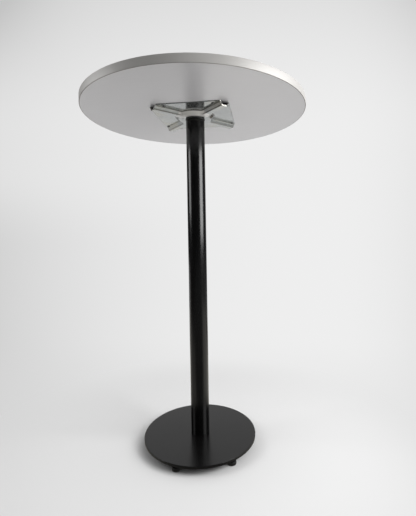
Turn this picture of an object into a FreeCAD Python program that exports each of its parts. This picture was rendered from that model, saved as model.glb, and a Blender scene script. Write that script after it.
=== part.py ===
# Round pub table: a laminated top on a pressed steel bracket, one tube column held by a
# tie rod, and a steel base plate on six levelling feet.
# Millimetres, +Z up. The origin is on the floor, on the axis of the column.

import FreeCAD, Part
import math
import os

Vector = FreeCAD.Vector

# ---- table top ----
top_diameter = 700.0
core_thickness = 20.4
laminate_thickness = 0.8
edge_band_thickness = 2.0
edge_band_chamfer = 0.8

# ---- clear height between the base plate and the underside of the top ----
clear_height = 1040.0

# ---- column ----
column_diameter = 60.0
column_wall = 2.0
column_top_ring_rim = 1.2
column_top_ring_flange = 2.5
column_top_ring_spigot = 14.0
column_top_ring_wall = 4.0
column_top_ring_chamfer = 0.5
column_foot_ring_height = 12.0
column_foot_ring_thickness = 6.0
column_foot_ring_chamfer = 1.0
column_fit_gap = 0.15

# ---- pressed bracket under the top ----
bracket_width = 240.0
bracket_corner_cut = 24.0
bracket_sheet = 2.5
rib_foot_half_width = 17.0
rib_crest_half_width = 8.5
hub_foot_radius = 67.0
hub_crest_radius = 47.0
rib_hub_foot_blend = 10.0
rib_hub_crest_blend = 14.0
press_bend_share = 0.2
hub_hole_diameter = 4.5
hub_hole_radius = 40.5
hub_hole_angle = 205.0
hub_slot_length = 13.0
hub_slot_width = 4.0
hub_slot_radius = 57.0
hub_slot_angle = -11.0
front_screw_edge_inset = 14.0
front_screw_corner_inset = 47.0
side_screw_edge_inset = 8.0
side_screw_corner_inset = 38.0

# ---- screws that hold the bracket to the top ----
screw_shank_diameter = 4.0
screw_head_diameter = 9.0
screw_head_height = 3.0
screw_crown_share = 0.7
screw_grip = 14.0
screw_hole_gap = 0.5
screw_pilot_gap = 0.05

# ---- tie rod through the column ----
tie_rod_diameter = 10.0
tie_rod_hole_gap = 0.5
tie_rod_end_length = 1.6
tie_rod_chamfer = 1.0
nut_across_flats = 17.0
nut_height = 8.0
nut_bore_gap = 0.1
nut_corner_angle = 30.0
nut_head_room = 0.5
washer_thickness = 2.0
top_washer_diameter = 28.0
base_washer_diameter = 34.0

# ---- base plate ----
base_diameter = 365.0
base_thickness = 8.0
base_edge_chamfer = 0.8

# ---- levelling feet ----
foot_count = 6
foot_edge_inset = 19.5
foot_first_angle = 15.0
pad_diameter = 28.0
pad_tread_height = 6.2
pad_groove_height = 1.2
pad_groove_depth = 1.6
pad_shoulder_height = 3.3
pad_shoulder_inset = 1.0
pad_floor_chamfer = 2.0
pad_top_chamfer = 0.8
pad_floor_thickness = 3.0
stud_diameter = 8.0
stud_head_diameter = 13.0
stud_head_height = 3.0
stud_head_gap = 0.3
stud_hex_across_flats = 13.0
stud_hex_height = 3.0
stud_hex_gap = 0.3
stud_thread_gap = 0.05
stud_tip_gap = 0.2
bush_diameter = 17.0
bush_height = 6.0
blind_hole_depth = 6.0

# ---- heights worked out from the pieces that are stacked ----
pad_height = pad_tread_height + pad_groove_height + pad_shoulder_height
stud_hex_bottom = pad_height + stud_hex_gap
bush_bottom = stud_hex_bottom + stud_hex_height
base_bottom = bush_bottom + bush_height
base_top = base_bottom + base_thickness
underside = base_top + clear_height
core_bottom = underside + laminate_thickness
core_top = core_bottom + core_thickness
table_height = core_top + laminate_thickness

press_depth = bracket_sheet + washer_thickness + nut_height + nut_head_room
hub_face = underside - press_depth
cavity_floor = hub_face + bracket_sheet
column_top = hub_face - column_top_ring_flange
column_bore = column_diameter / 2 - column_wall
rod_radius = tie_rod_diameter / 2
rod_hole_radius = rod_radius + tie_rod_hole_gap


# ---- small helpers ----

def ring_profile(points):
    """Solid made by turning an outline of (radius, height) points about the Z axis."""
    corners = [Vector(radius, 0, height) for radius, height in points]
    face = Part.Face(Part.makePolygon(corners + corners[:1]))
    return face.revolve(Vector(0, 0, 0), Vector(0, 0, 1), 360)


def tube(outer_radius, inner_radius, bottom, top):
    """Plain ring between two heights."""
    outer = Part.makeCylinder(outer_radius, top - bottom, Vector(0, 0, bottom))
    inner = Part.makeCylinder(inner_radius, top - bottom, Vector(0, 0, bottom))
    return outer.cut(inner)


def hexagon(across_flats, bottom, height):
    """Upright hexagonal prism."""
    corner_radius = across_flats / math.sqrt(3)
    corners = []
    for step in range(6):
        angle = math.radians(60 * step)
        corners.append(Vector(corner_radius * math.cos(angle), corner_radius * math.sin(angle), bottom))
    return Part.Face(Part.makePolygon(corners + corners[:1])).extrude(Vector(0, 0, height))


def turned_corners(across_flats, bottom, height):
    """Round form that takes the sharp corners off both faces of a nut."""
    corner_radius = across_flats / math.sqrt(3)
    fall = (corner_radius - across_flats / 2) * math.tan(math.radians(nut_corner_angle))
    return ring_profile([
        (0, bottom),
        (across_flats / 2, bottom),
        (corner_radius, bottom + fall),
        (corner_radius, bottom + height - fall),
        (across_flats / 2, bottom + height),
        (0, bottom + height),
    ])


def around_feet():
    """Centre of each levelling foot."""
    circle_radius = base_diameter / 2 - foot_edge_inset
    places = []
    for index in range(foot_count):
        angle = math.radians(foot_first_angle + index * 360.0 / foot_count)
        places.append(Vector(circle_radius * math.cos(angle), circle_radius * math.sin(angle), 0))
    return places


def screw_places():
    """The bracket screws: one on each side of every rib."""
    half = bracket_width / 2
    front = (half - front_screw_corner_inset, half - front_screw_edge_inset)
    side = (half - side_screw_edge_inset, half - side_screw_corner_inset)
    places = []
    for sign_x in (-1, 1):
        for sign_y in (-1, 1):
            for x, y in (front, side):
                places.append((sign_x * x, sign_y * y))
    return places


def edges_at(shape, radius, height, near=0.01):
    """Circular edges of one radius at one height."""
    found = []
    for edge in shape.Edges:
        if not isinstance(edge.Curve, Part.Circle):
            continue
        if abs(edge.Curve.Radius - radius) < near and abs(edge.Curve.Center.z - height) < near:
            found.append(edge)
    return found


# ---- table top ----

def screw_pilots(bottom, top):
    """Pilot holes for the bracket screws between two heights."""
    radius = screw_shank_diameter / 2 + screw_pilot_gap
    holes = [Part.makeCylinder(radius, top - bottom, Vector(x, y, bottom)) for x, y in screw_places()]
    return Part.makeCompound(holes)


def make_top_core():
    radius = top_diameter / 2 - edge_band_thickness
    board = Part.makeCylinder(radius, core_thickness, Vector(0, 0, core_bottom))
    return board.cut(screw_pilots(core_bottom, underside + screw_grip))


def make_top_laminate():
    radius = top_diameter / 2 - edge_band_thickness
    return Part.makeCylinder(radius, laminate_thickness, Vector(0, 0, core_top))


def make_underside_laminate():
    radius = top_diameter / 2 - edge_band_thickness
    sheet = Part.makeCylinder(radius, laminate_thickness, Vector(0, 0, underside))
    return sheet.cut(screw_pilots(underside, core_bottom))


def make_edge_band():
    outer = top_diameter / 2
    band = tube(outer, outer - edge_band_thickness, underside, table_height)
    rims = edges_at(band, outer, underside) + edges_at(band, outer, table_height)
    return band.makeChamfer(edge_band_chamfer, rims)


# ---- pressed bracket ----

def star_outline(half_width, hub_radius, blend, reach, height):
    """Plan outline of the hub with its four ribs, blended into each other, at one height."""
    centre_along = math.sqrt((hub_radius + blend) ** 2 - (half_width + blend) ** 2)
    blend_angle = math.atan2(half_width + blend, centre_along)
    edges = []
    for quarter in range(4):
        turn = math.radians(45 + 90 * quarter)

        def place(along, across, turn=turn):
            x = along * math.cos(turn) - across * math.sin(turn)
            y = along * math.sin(turn) + across * math.cos(turn)
            return Vector(x, y, height)

        def on_circle(centre_x, centre_y, radius, angle):
            return place(centre_x + radius * math.cos(angle), centre_y + radius * math.sin(angle))

        # the first rib's end and flank
        edges.append(Part.makeLine(place(reach, -half_width), place(reach, half_width)))
        edges.append(Part.makeLine(place(reach, half_width), place(centre_along, half_width)))
        # hollow blend into the hub
        across = half_width + blend
        start = place(centre_along, half_width)
        toward_hub = blend_angle + math.pi
        middle = on_circle(centre_along, across, blend, (1.5 * math.pi + toward_hub) / 2)
        end = on_circle(centre_along, across, blend, toward_hub)
        edges.append(Part.Arc(start, middle, end).toShape())
        # round side of the hub
        hub_end_angle = math.pi / 2 - blend_angle
        hub_middle = on_circle(0, 0, hub_radius, math.pi / 4)
        hub_end = on_circle(0, 0, hub_radius, hub_end_angle)
        edges.append(Part.Arc(end, hub_middle, hub_end).toShape())
        # hollow blend out to the next rib
        next_middle = on_circle(across, centre_along, blend, (math.pi + 1.5 * math.pi - blend_angle) / 2)
        next_end = place(half_width, centre_along)
        edges.append(Part.Arc(hub_end, next_middle, next_end).toShape())
        edges.append(Part.makeLine(next_end, place(half_width, reach)))
    return Part.Wire(edges)


def press_fall(run):
    """Share of the depth reached at a share of a pressed wall's run: a bend, a slope, a bend."""
    bend = press_bend_share
    if run < bend:
        return run * run / (2 * bend * (1 - bend))
    if run > 1 - bend:
        return 1 - press_fall(1 - run)
    return (run - bend / 2) / (1 - bend)


bend_runs = [0.0, press_bend_share / 2, press_bend_share]
press_runs = bend_runs + [1 - run for run in reversed(bend_runs)]


def pressed_form(wall_offset_rib, wall_offset_hub, start_height):
    """Solid form of the hub and ribs below start_height, narrowed by the wall offsets."""
    depth = press_depth - bracket_sheet
    reach = bracket_width
    outlines = []
    for run in press_runs:
        half_width = rib_foot_half_width + run * (rib_crest_half_width - rib_foot_half_width)
        hub_radius = hub_foot_radius + run * (hub_crest_radius - hub_foot_radius)
        blend = rib_hub_foot_blend + run * (rib_hub_crest_blend - rib_hub_foot_blend)
        outlines.append(star_outline(
            half_width - wall_offset_rib,
            hub_radius - wall_offset_hub,
            blend + wall_offset_rib,
            reach,
            start_height - press_fall(run) * depth,
        ))
    return Part.makeLoft(outlines, True, True)


def bracket_blank(bottom, height):
    """Square plate with cut corners."""
    half = bracket_width / 2
    short = half - bracket_corner_cut
    corners = []
    for x, y in ((half, short), (short, half), (-short, half), (-half, short),
                 (-half, -short), (-short, -half), (short, -half), (half, -short)):
        corners.append(Vector(x, y, bottom))
    return Part.Face(Part.makePolygon(corners + corners[:1])).extrude(Vector(0, 0, height))


def half_slope_offset(run):
    """How far the inner face of a pressed wall lies inside the outer one, in plan."""
    depth = press_depth - bracket_sheet
    slope = math.atan2(depth, run)
    return bracket_sheet * math.tan(slope / 2)


def hub_openings():
    """The round hole in the hub's face and the slot in its side."""
    hole = Part.makeCylinder(hub_hole_diameter / 2, press_depth, Vector(hub_hole_radius, 0, hub_face))
    hole.rotate(Vector(0, 0, 0), Vector(0, 0, 1), hub_hole_angle)
    straight = (hub_slot_length - hub_slot_width) / 2
    slot = Part.makeBox(
        hub_slot_width, 2 * straight, press_depth,
        Vector(hub_slot_radius - hub_slot_width / 2, -straight, hub_face),
    )
    for end in (-straight, straight):
        place = Vector(hub_slot_radius, end, hub_face)
        slot = slot.fuse(Part.makeCylinder(hub_slot_width / 2, press_depth, place))
    slot.rotate(Vector(0, 0, 0), Vector(0, 0, 1), hub_slot_angle)
    return [hole, slot.removeSplitter()]


def make_top_bracket():
    rib_offset = half_slope_offset(rib_foot_half_width - rib_crest_half_width)
    hub_offset = half_slope_offset(hub_foot_radius - hub_crest_radius)
    sheet_bottom = underside - bracket_sheet
    outer_form = pressed_form(0, 0, sheet_bottom)
    inner_form = pressed_form(rib_offset, hub_offset, underside)
    blank = bracket_blank(sheet_bottom, bracket_sheet)
    body = blank.fuse(outer_form).cut(inner_form)
    body = body.common(bracket_blank(hub_face, press_depth))
    rod_hole = Part.makeCylinder(rod_hole_radius, press_depth, Vector(0, 0, hub_face))
    holes = [rod_hole] + hub_openings()
    for x, y in screw_places():
        radius = screw_shank_diameter / 2 + screw_hole_gap
        holes.append(Part.makeCylinder(radius, bracket_sheet, Vector(x, y, sheet_bottom)))
    return body.cut(Part.makeCompound(holes)).removeSplitter()


def make_bracket_screw(x, y):
    """Pan head wood screw driven up through the bracket into the top."""
    seat = underside - bracket_sheet
    shank = screw_shank_diameter / 2
    head = screw_head_diameter / 2
    tip = seat + screw_grip
    screw = ring_profile([
        (0, seat - screw_head_height),
        (head * screw_crown_share, seat - screw_head_height),
        (head, seat),
        (shank, seat),
        (shank, tip - screw_shank_diameter),
        (0, tip),
    ])
    screw.translate(Vector(x, y, 0))
    return screw


def make_bracket_screws():
    return Part.makeCompound([make_bracket_screw(x, y) for x, y in screw_places()])


# ---- column and tie rod ----

def make_column_tube():
    return tube(column_diameter / 2, column_bore, base_top, column_top)


def make_column_top_ring():
    """Plastic ring that centres the tube's upper end and parts it from the bracket."""
    spigot = column_bore - column_fit_gap
    rim = column_diameter / 2 + column_top_ring_rim
    bore = spigot - column_top_ring_wall
    return ring_profile([
        (rod_hole_radius, hub_face),
        (rim - column_top_ring_chamfer, hub_face),
        (rim, hub_face - column_top_ring_chamfer),
        (rim, column_top),
        (spigot, column_top),
        (spigot, column_top - column_top_ring_spigot),
        (bore, column_top - column_top_ring_spigot),
        (bore, column_top),
        (rod_hole_radius, column_top),
    ])


def make_column_foot_ring():
    """Steel cup washer that centres the tube's lower end on the base plate."""
    outer = column_bore - column_fit_gap
    bore = outer - column_foot_ring_thickness
    return ring_profile([
        (rod_hole_radius, base_top),
        (outer, base_top),
        (outer, base_top + column_foot_ring_height - column_foot_ring_chamfer),
        (outer - column_foot_ring_chamfer, base_top + column_foot_ring_height),
        (bore, base_top + column_foot_ring_height),
        (bore, base_top + column_foot_ring_thickness),
        (rod_hole_radius, base_top + column_foot_ring_thickness),
    ])


base_nut_bottom = base_bottom - washer_thickness - nut_height
rod_bottom = base_nut_bottom - tie_rod_end_length
rod_top = underside - nut_head_room


def make_tie_rod():
    return ring_profile([
        (0, rod_bottom),
        (rod_radius - tie_rod_chamfer, rod_bottom),
        (rod_radius, rod_bottom + tie_rod_chamfer),
        (rod_radius, rod_top - tie_rod_chamfer),
        (rod_radius - tie_rod_chamfer, rod_top),
        (0, rod_top),
    ])


def make_nut(bottom):
    bore = Part.makeCylinder(rod_radius + nut_bore_gap, nut_height, Vector(0, 0, bottom))
    nut = hexagon(nut_across_flats, bottom, nut_height)
    return nut.common(turned_corners(nut_across_flats, bottom, nut_height)).cut(bore)


def make_washer(diameter, bottom):
    return tube(diameter / 2, rod_hole_radius, bottom, bottom + washer_thickness)


# ---- base plate and levelling feet ----

def make_base_plate():
    plate = Part.makeCylinder(base_diameter / 2, base_thickness, Vector(0, 0, base_bottom))
    rims = edges_at(plate, base_diameter / 2, base_top) + edges_at(plate, base_diameter / 2, base_bottom)
    plate = plate.makeChamfer(base_edge_chamfer, rims)
    holes = [Part.makeCylinder(rod_hole_radius, base_thickness, Vector(0, 0, base_bottom))]
    for place in around_feet():
        start = place + Vector(0, 0, base_bottom)
        holes.append(Part.makeCylinder(stud_diameter / 2 + stud_thread_gap, blind_hole_depth, start))
    return plate.cut(Part.makeCompound(holes))


def make_foot_bushes():
    """Threaded bushes welded under the base plate, one for each foot."""
    bushes = []
    for place in around_feet():
        bush = tube(bush_diameter / 2, stud_diameter / 2 + stud_thread_gap, bush_bottom, base_bottom)
        bush.translate(place)
        bushes.append(bush)
    return Part.makeCompound(bushes)


def make_foot_pad(place):
    """Plastic glide with a grooved rim and a socket for the stud's head."""
    radius = pad_diameter / 2
    shoulder = radius - pad_shoulder_inset
    socket = stud_head_diameter / 2 + stud_head_gap
    socket_top = pad_floor_thickness + stud_head_height + stud_head_gap
    neck = stud_diameter / 2 + stud_thread_gap
    groove_top = pad_tread_height + pad_groove_height
    pad = ring_profile([
        (0, 0),
        (radius - pad_floor_chamfer, 0),
        (radius, pad_floor_chamfer),
        (radius, pad_tread_height),
        (radius - pad_groove_depth, pad_tread_height),
        (radius - pad_groove_depth, groove_top),
        (shoulder, groove_top),
        (shoulder, pad_height - pad_top_chamfer),
        (shoulder - pad_top_chamfer, pad_height),
        (neck, pad_height),
        (neck, socket_top),
        (socket, socket_top),
        (socket, pad_floor_thickness),
        (0, pad_floor_thickness),
    ])
    pad.translate(place)
    return pad


def make_foot_stud(place):
    """Threaded stud with a flat head in the pad and a hexagon to turn it by."""
    shank = stud_diameter / 2
    head = stud_head_diameter / 2
    head_top = pad_floor_thickness + stud_head_height
    tip = base_bottom + blind_hole_depth - stud_tip_gap
    stud = ring_profile([
        (0, pad_floor_thickness),
        (head, pad_floor_thickness),
        (head, head_top),
        (shank, head_top),
        (shank, tip),
        (0, tip),
    ])
    stud = stud.fuse(hexagon(stud_hex_across_flats, stud_hex_bottom, stud_hex_height))
    stud.translate(place)
    return stud


# ---- every piece under its own name ----

pieces = {
    "top_core": make_top_core(),
    "top_laminate": make_top_laminate(),
    "underside_laminate": make_underside_laminate(),
    "edge_band": make_edge_band(),
    "top_bracket": make_top_bracket(),
    "bracket_screws": make_bracket_screws(),
    "column_tube": make_column_tube(),
    "column_top_ring": make_column_top_ring(),
    "column_foot_ring": make_column_foot_ring(),
    "tie_rod": make_tie_rod(),
    "tie_rod_top_washer": make_washer(top_washer_diameter, cavity_floor),
    "tie_rod_top_nut": make_nut(cavity_floor + washer_thickness),
    "tie_rod_base_washer": make_washer(base_washer_diameter, base_bottom - washer_thickness),
    "tie_rod_base_nut": make_nut(base_nut_bottom),
    "base_plate": make_base_plate(),
    "foot_bushes": make_foot_bushes(),
}
for number, foot_place in enumerate(around_feet(), 1):
    pieces["foot_%d_pad" % number] = make_foot_pad(foot_place)
    pieces["foot_%d_stud" % number] = make_foot_stud(foot_place)

os.makedirs("parts", exist_ok=True)
for name, shape in pieces.items():
    shape.exportStep("parts/%s.step" % name)
    facts = (name, len(shape.Solids), shape.isValid(), shape.Volume)
    print("%-22s solids %d  valid %s  volume %.0f mm3" % facts)
print("table height %.1f mm" % table_height)
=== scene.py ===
import math
import random

import bmesh
import bpy
import numpy as np
from mathutils import Matrix, Vector
from mathutils.geometry import delaunay_2d_cdt


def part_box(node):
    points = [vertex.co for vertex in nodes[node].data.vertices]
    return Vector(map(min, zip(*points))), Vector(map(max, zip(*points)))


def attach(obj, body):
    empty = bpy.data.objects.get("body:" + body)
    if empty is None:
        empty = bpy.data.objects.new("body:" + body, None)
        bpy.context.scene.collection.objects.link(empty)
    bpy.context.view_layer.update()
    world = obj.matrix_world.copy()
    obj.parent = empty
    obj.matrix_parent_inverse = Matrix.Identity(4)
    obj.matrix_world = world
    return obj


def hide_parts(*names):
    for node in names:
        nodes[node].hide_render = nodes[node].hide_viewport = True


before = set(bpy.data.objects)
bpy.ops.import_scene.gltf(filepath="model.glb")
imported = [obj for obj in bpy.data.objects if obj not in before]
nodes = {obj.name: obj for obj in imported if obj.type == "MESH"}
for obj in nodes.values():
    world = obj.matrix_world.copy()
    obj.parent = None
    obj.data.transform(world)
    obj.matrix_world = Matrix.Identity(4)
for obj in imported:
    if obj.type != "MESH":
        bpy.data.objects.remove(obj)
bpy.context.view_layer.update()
scene = bpy.context.scene
mm = 0.001
print("frame loaded,", len(nodes), "nodes")


# sizes from the frame, in mm

def span(name):
    # radius, lowest and highest height of a round CAD piece
    low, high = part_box(name)
    return (high.x - low.x) / 2 / mm, low.z / mm, high.z / mm


bandLow, bandHigh = ([round(length / mm, 2) for length in corner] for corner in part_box("edge_band"))
top = {"radius": bandHigh[0], "underside": bandLow[2], "height": bandHigh[2]}


# node trees: one wrapped socket, and one method for every node that isn't plain maths

class Signal:
    def __init__(self, paint, socket):
        self.paint = paint
        self.socket = socket

    def maths(self, operation, first, second):
        return self.paint.node("ShaderNodeMath", {"operation": operation}, {0: first, 1: second})

    def __add__(self, other):
        return self.maths("ADD", self, other)

    def __radd__(self, other):
        return self.maths("ADD", other, self)

    def __sub__(self, other):
        return self.maths("SUBTRACT", self, other)

    def __rsub__(self, other):
        return self.maths("SUBTRACT", other, self)

    def __mul__(self, other):
        return self.maths("MULTIPLY", self, other)

    def __rmul__(self, other):
        return self.maths("MULTIPLY", other, self)

    def __truediv__(self, other):
        return self.maths("DIVIDE", self, other)

    def __rtruediv__(self, other):
        return self.maths("DIVIDE", other, self)

    def __pow__(self, other):
        return self.maths("POWER", self, other)

    def atLeast(self, other):
        return self.maths("MAXIMUM", self, other)

    def fade(self, low, high):
        # 0 below low, 1 above high, soft between
        return self.paint.node("ShaderNodeMapRange", {"interpolation_type": "SMOOTHSTEP"},
                               {"Value": self, "From Min": low, "From Max": high})

    def between(self, start, full, fading, end):
        return self.fade(start, full) * (1 - self.fade(fading, end))


class Paint:
    def __init__(self, name, tree=None, output="ShaderNodeOutputMaterial"):
        self.material = None
        if tree is None:
            self.material = bpy.data.materials.new(name)
            self.material.use_nodes = True
            tree = self.material.node_tree
        tree.nodes.clear()
        self.tree = tree
        self.output = tree.nodes.new(output)

    def node(self, kind, settings=None, values=None, out=0):
        made = self.tree.nodes.new(kind)
        for key, value in (settings or {}).items():
            setattr(made, key, value)
        for key, value in (values or {}).items():
            socket = made.inputs[key]
            if isinstance(value, Signal):
                self.tree.links.new(value.socket, socket)
            elif socket.type == "RGBA":
                socket.default_value = (*value, 1)
            else:
                socket.default_value = value
        return Signal(self, made.outputs[out])

    def place(self):
        return self.node("ShaderNodeTexCoord", out="Object")

    def axis(self, vector, name):
        return self.node("ShaderNodeSeparateXYZ", values={"Vector": vector}, out=name)

    def stretched(self, vector, scale):
        return self.node("ShaderNodeMapping", values={"Vector": vector, "Scale": scale})

    def noise(self, vector, scale=1.0, detail=3.0, roughness=0.5, distortion=0.0):
        return self.node("ShaderNodeTexNoise", values={"Vector": vector, "Scale": scale, "Detail": detail,
                                                       "Roughness": roughness, "Distortion": distortion})

    def mix(self, factor, first, second):
        return self.node("ShaderNodeMix", {"data_type": "RGBA"}, {0: factor, 6: first, 7: second}, out=2)

    def bump(self, height, strength, depth):
        values = {"Height": height, "Strength": strength, "Distance": depth * mm}
        return self.node("ShaderNodeBump", values=values, out="Normal")

    def straightRay(self):
        return self.node("ShaderNodeLightPath", out="Is Camera Ray")

    def shinyRay(self):
        glossy, through = (self.node("ShaderNodeLightPath", out="Is %s Ray" % kind)
                           for kind in ("Glossy", "Transmission"))
        return glossy.atLeast(through)

    def close(self, shader):
        self.tree.links.new(shader.socket, self.output.inputs["Surface"])
        return self.material

    def surface(self, values):
        return self.close(self.node("ShaderNodeBsdfPrincipled", values=values))

    def coated(self, look, colour, gloss, relief):
        # a surface whose roughness follows one pattern and whose relief another
        return self.surface({
            "Base Color": colour,
            "Metallic": look["metallic"],
            "Roughness": look["roughness"] + gloss * look["uneven"],
            "Normal": self.bump(relief, *look["bump"]),
        })


# finishes: a bump is its strength and its depth in mm, a scale is per metre

silver = {
    "light": (0.728, 0.718, 0.726), "dark": (0.693, 0.683, 0.69), "tones": (0.3, 0.7),
    "grainStretch": (6, 900, 1), "grainShare": 0.7, "cloudScale": 5.0,
    "metallic": 0.25, "roughness": 0.30, "uneven": 0.08, "bump": (0.12, 0.02),
}


def silverLaminate():
    paint = Paint("silverLaminate")
    place = paint.place()
    grain = paint.noise(paint.stretched(place, silver["grainStretch"]), detail=4, roughness=0.6)
    cloud = paint.noise(place, silver["cloudScale"], detail=2)
    tone = grain * silver["grainShare"] + cloud * (1 - silver["grainShare"])
    colour = paint.mix(tone.fade(*silver["tones"]), silver["dark"], silver["light"])
    return paint.coated(silver, colour, grain, grain)


band = {
    "thickness": 2.0, "round": 0.9, "segments": 256,
    "colour": (0.485, 0.475, 0.46), "shade": (0.455, 0.445, 0.43), "tones": (0.3, 0.7), "cloudScale": 9.0,
    "lip": (0.21, 0.19, 0.175), "lipHigh": (0.1, 0.9), "lipShare": 0.8,     # the dark lower lip of the band
    "metallic": 0.12, "roughness": 0.44, "uneven": 0.06, "fineScale": 900.0, "bump": (0.08, 0.02),
}


def silverEdge():
    paint = Paint("silverEdge")
    place = paint.place()
    fine = paint.noise(place, band["fineScale"], detail=2)
    cloud = paint.noise(place, band["cloudScale"])
    lip = 1 - paint.axis(place, "Z").fade(*[(top["underside"] + high) * mm for high in band["lipHigh"]])
    body = paint.mix(cloud.fade(*band["tones"]), band["shade"], band["colour"])
    return paint.coated(band, paint.mix(lip * band["lipShare"], body, band["lip"]), cloud, fine)


zinc = {
    "bright": (0.47, 0.485, 0.475), "dull": (0.40, 0.415, 0.412), "tones": (0.32, 0.68), "cloudScale": 28.0,
    "yellow": (0.50, 0.475, 0.40), "yellowFrom": (0.5, 0.75), "yellowShare": 0.5, "tintScale": 11.0,
    "metallic": 0.88, "roughness": 0.14, "uneven": 0.05,
    "rolledStretch": (60, 900, 60), "cloudBump": 0.6, "bump": (0.12, 0.03),
}

# marks of pressing and use, with painted shade in the bends and a painted highlight on the hub, in mm: foot,
# crest, drawn and hubDeep are depths below the top's underside
marks = {
    "foot": (2.6, 2.9, 4.1, 4.7), "crest": (10.0, 10.8, 12.7, 12.95), "drawn": (3.0, 4.0, 11.5, 12.8),
    "far": (-20.0, 30.0), "rib": (50.0, 66.0),
    # painted shade in the bends: its colour, and its strength on the near side and at the far foot and crest
    "paintedShadeColour": (0.08, 0.076, 0.072), "nearPaintedShade": 0.75, "farFootPaintedShade": 0.1, "farCrestPaintedShade": 0.45, "dulled": 0.35,
    "stain": (0.10, 0.07, 0.045), "stained": 0.8, "stainTall": 0.5,
    "stainAt": (55.5, -9.0), "stainReach": (4.743, 7.5),
    "hubDeep": (3.4, 4.4), "hubNear": (15.0, 35.0), "hubRing": (36.0, 43.0, 66.0, 75.0), "hubDulled": 0.7,
    # colours of the hub's painted highlight, from its left to its right
    "hubHighlightTones": ((0.60, 0.585, 0.56), (0.86, 0.84, 0.80)), "hubHighlightFrom": (-30.0, 40.0),
}


def squares(lengths):
    return [length ** 2 for length in lengths]


def zincPlated(name, wearAndPaintedLight=1.0):
    paint = Paint(name)
    place = paint.place()
    cloud = paint.noise(place, zinc["cloudScale"], detail=5, roughness=0.6, distortion=0.6)
    tint = paint.noise(place, zinc["tintScale"])
    rolled = paint.noise(paint.stretched(place, zinc["rolledStretch"]))
    base = paint.mix(cloud.fade(*zinc["tones"]), zinc["dull"], zinc["bright"])
    base = paint.mix(tint.fade(*zinc["yellowFrom"]) * zinc["yellowShare"] * wearAndPaintedLight, base, zinc["yellow"])

    # zinc dulled where the press drew it, and painted shade in the bends of the pressed wall, stronger on the
    # near side
    x, y, z = (paint.axis(place, axis) / mm for axis in "XYZ")
    depth = top["underside"] - z
    foot, crest, drawn = (depth.between(*marks[mark]) for mark in ("foot", "crest", "drawn"))
    far = y.fade(*marks["far"])
    out = x * x + y * y
    paintedShade = foot * (marks["nearPaintedShade"] + far * (marks["farFootPaintedShade"] - marks["nearPaintedShade"]))
    onRib = crest * out.fade(*squares(marks["rib"]))
    paintedShade = paintedShade.atLeast(onRib * (marks["nearPaintedShade"] + far * (marks["farCrestPaintedShade"] - marks["nearPaintedShade"])))
    aside, ahead = x - marks["stainAt"][0], y - marks["stainAt"][1]
    stain = 1 - (aside * aside + ahead * ahead * marks["stainTall"]).fade(*squares(marks["stainReach"]))
    base = paint.mix(stain * marks["stained"] * wearAndPaintedLight, base, marks["stain"])

    # painted highlight: the hub's near side, drawn deepest, is painted pale, paler towards the right, and
    # made matt
    hub = depth.fade(*marks["hubDeep"]) * (0 - y).fade(*marks["hubNear"])
    hub = hub * out.between(*squares(marks["hubRing"])) * wearAndPaintedLight
    base = paint.mix(hub, base, paint.mix(x.fade(*marks["hubHighlightFrom"]), *marks["hubHighlightTones"]))
    return paint.surface({
        # the painted shade in the bends goes over the zinc's colour
        "Base Color": paint.mix(paintedShade * wearAndPaintedLight, base, marks["paintedShadeColour"]),
        "Metallic": zinc["metallic"] - (drawn * wearAndPaintedLight * marks["dulled"]).atLeast(hub * marks["hubDulled"]),
        "Roughness": zinc["roughness"] + cloud * zinc["uneven"],
        "Normal": paint.bump(rolled + cloud * zinc["cloudBump"], *zinc["bump"]),
    })


steel = {
    "colour": (0.42, 0.41, 0.40), "rust": (0.24, 0.17, 0.12), "rustFrom": (0.6, 0.75), "rustShare": 0.5,
    "rustScale": 60.0, "drawnStretch": (500, 500, 12),
    "metallic": 1.0, "roughness": 0.38, "uneven": 0.15, "bump": (0.2, 0.05),
}


def plainSteel():
    paint = Paint("plainSteel")
    place = paint.place()
    drawn = paint.noise(paint.stretched(place, steel["drawnStretch"]))
    rust = paint.noise(place, steel["rustScale"], detail=4).fade(*steel["rustFrom"])
    colour = paint.mix(rust * steel["rustShare"], steel["colour"], steel["rust"])
    return paint.coated(steel, colour, drawn, drawn)


headSteel = {
    "colour": (0.16, 0.16, 0.165), "worn": (0.30, 0.30, 0.30), "wornFrom": (0.5, 0.7), "wornScale": 700.0,
    "metallic": 0.9, "roughness": 0.35, "uneven": 0.15, "bump": (0.2, 0.03),
}


def darkScrewSteel():
    paint = Paint("darkScrewSteel")
    worn = paint.noise(paint.place(), headSteel["wornScale"])
    colour = paint.mix(worn.fade(*headSteel["wornFrom"]), headSteel["colour"], headSteel["worn"])
    return paint.coated(headSteel, colour, worn, worn)


columnCoat = {
    "colour": (0.0022, 0.0022, 0.0023), "haze": (0.0034, 0.0034, 0.0035), "tones": (0.3, 0.7),
    "cloud": (6.0, 3), "grain": (420.0, 2),
    "metallic": 0.0, "roughness": 0.19, "uneven": 0.04, "bump": (0.05, 0.05),
}
baseCoat = {
    "colour": (0.0020, 0.0018, 0.0019), "haze": (0.0030, 0.0028, 0.0029), "tones": (0.3, 0.7),
    "cloud": (9.0, 4), "grain": (700.0, 3),
    "metallic": 0.0, "roughness": 0.19, "uneven": 0.08, "bump": (0.16, 0.05),
}


def blackCoat(name, coat):
    paint = Paint(name)
    place = paint.place()
    grain, cloud = paint.noise(place, *coat["grain"]), paint.noise(place, *coat["cloud"])
    colour = paint.mix(cloud.fade(*coat["tones"]), coat["colour"], coat["haze"])
    return paint.coated(coat, colour, cloud, grain)


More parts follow.
